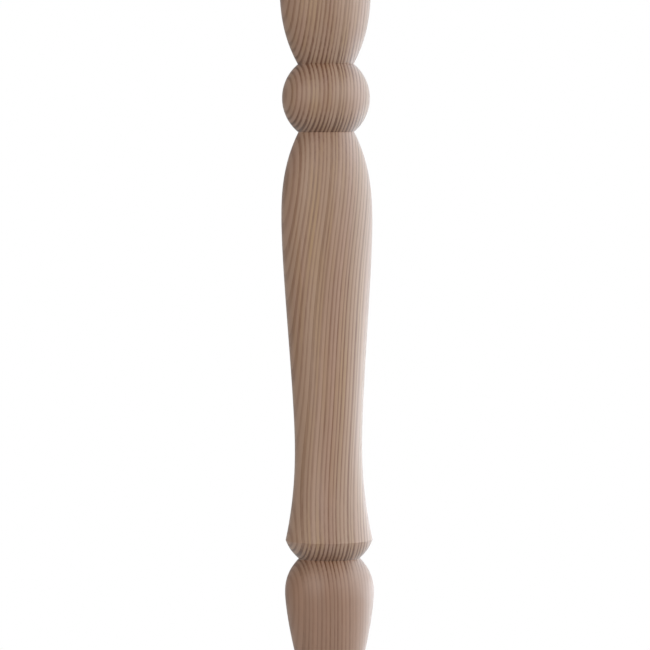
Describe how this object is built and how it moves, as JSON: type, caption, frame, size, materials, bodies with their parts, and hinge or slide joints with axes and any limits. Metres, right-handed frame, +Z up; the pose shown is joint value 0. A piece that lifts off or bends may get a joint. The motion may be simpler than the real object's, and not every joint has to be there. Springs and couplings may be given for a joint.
{
  "type": "wooden baluster",
  "caption": "Turned softwood stair baluster with a centre ball, mirrored vases and urns, and square flat-cut ends.",
  "frame": {"origin": "centre of the lower square end, on the surface that the baluster stands on", "axes": "+Z up along the turning axis; +X and +Y square to two neighbouring flat sides of the square ends"},
  "size_m": [0.041, 0.041, 0.9],
  "materials": {
    "bare_softwood": "matte"
  },
  "bodies": {
    "root": {"baluster": "bare_softwood"}
  },
  "joints": []
}
